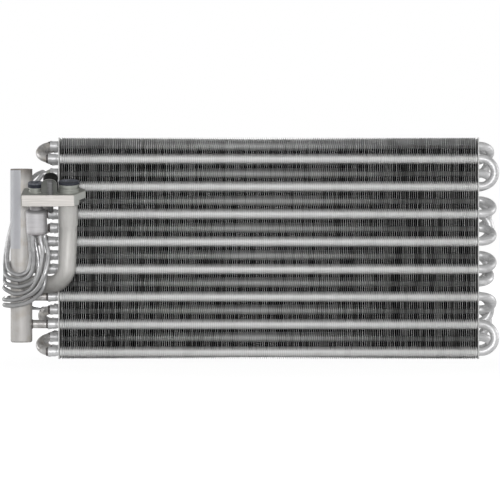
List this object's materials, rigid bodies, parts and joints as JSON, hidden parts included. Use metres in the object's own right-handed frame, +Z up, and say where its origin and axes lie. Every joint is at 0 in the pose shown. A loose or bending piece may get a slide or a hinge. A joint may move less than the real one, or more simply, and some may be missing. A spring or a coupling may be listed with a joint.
{
  "type": "evaporator core",
  "caption": "Plate-fin evaporator core on round hairpin tubes, with a suction header, an inlet distributor with thin feed tubes and a tilted port block with plugged ports.",
  "frame": {"origin": "middle of the fin pack's bottom edge, half-way along its length and its depth", "axes": "+X along the tubes away from the header, +Y from the port side through the fins to the back, +Z up"},
  "size_m": [0.4584, 0.1184, 0.2032],
  "materials": {
    "fin_sheet": "thin rolled sheet",
    "end_plate": "sheared sheet",
    "hairpin_tube": "drawn, slightly dull",
    "return_bend_tube": "drawn and brazed",
    "stub_tube": "drawn and brazed",
    "bush": "turned",
    "capillary_tube": "bright drawn",
    "header_tube": "dull, warm grey",
    "label_foil": "plain silver-grey",
    "machined_block": "milled, pale",
    "neck_metal": "turned",
    "navy_plug": "matte dark blue",
    "stud_steel": "plated",
    "stem_metal": "turned",
    "black_cap": "matte black",
    "distributor_body": "turned",
    "suction_tube": "drawn, slightly dull"
  },
  "bodies": {
    "root": {"blank_label": "label_foil", "capillary_b2": "capillary_tube", "capillary_c6": "capillary_tube", "capillary_d2": "capillary_tube", "capillary_d4": "capillary_tube", "capillary_d6": "capillary_tube", "capillary_d7": "capillary_tube", "clamp_stud": "stud_steel", "distributor": "distributor_body", "dust_cap": "black_cap", "feed_bush_b2": "bush", "feed_bush_c6": "bush", "feed_bush_d2": "bush", "feed_bush_d4": "bush", "feed_bush_d6": "bush", "feed_bush_d7": "bush", "fin_stack": "fin_sheet", "hairpin_a1_a2": "hairpin_tube", "hairpin_a3_b3": "hairpin_tube", "hairpin_a4_b4": "hairpin_tube", "hairpin_a5_b5": "hairpin_tube", "hairpin_a6_b7": "hairpin_tube", "hairpin_a7_a8": "hairpin_tube", "hairpin_b1_c1": "hairpin_tube", "hairpin_b2_c2": "hairpin_tube", "hairpin_b6_c5": "hairpin_tube", "hairpin_b8_c8": "hairpin_tube", "hairpin_c3_c4": "hairpin_tube", "hairpin_c6_c7": "hairpin_tube", "hairpin_d1_d2": "hairpin_tube", "hairpin_d3_d4": "hairpin_tube", "hairpin_d5_d6": "hairpin_tube", "hairpin_d7_d8": "hairpin_tube", "header_cap": "header_tube", "left_end_plate": "end_plate", "liquid_neck": "neck_metal", "liquid_plug": "navy_plug", "outlet_stub_a2": "stub_tube", "outlet_stub_a3": "stub_tube", "outlet_stub_a4": "stub_tube", "outlet_stub_a5": "stub_tube", "outlet_stub_a6": "stub_tube", "outlet_stub_a7": "stub_tube", "port_block": "machined_block", "return_bend_a1_b1": "return_bend_tube", "return_bend_a8_b8": "return_bend_tube", "return_bend_b3_c2": "return_bend_tube", "return_bend_b4_c4": "return_bend_tube", "return_bend_b5_b6": "return_bend_tube", "return_bend_b7_c7": "return_bend_tube", "return_bend_c1_d1": "return_bend_tube", "return_bend_c3_d3": "return_bend_tube", "return_bend_c5_d5": "return_bend_tube", "return_bend_c8_d8": "return_bend_tube", "right_end_plate": "end_plate", "service_stem": "stem_metal", "suction_header": "header_tube", "suction_neck": "neck_metal", "suction_pipe": "suction_tube", "suction_plug": "navy_plug"}
  },
  "joints": []
}
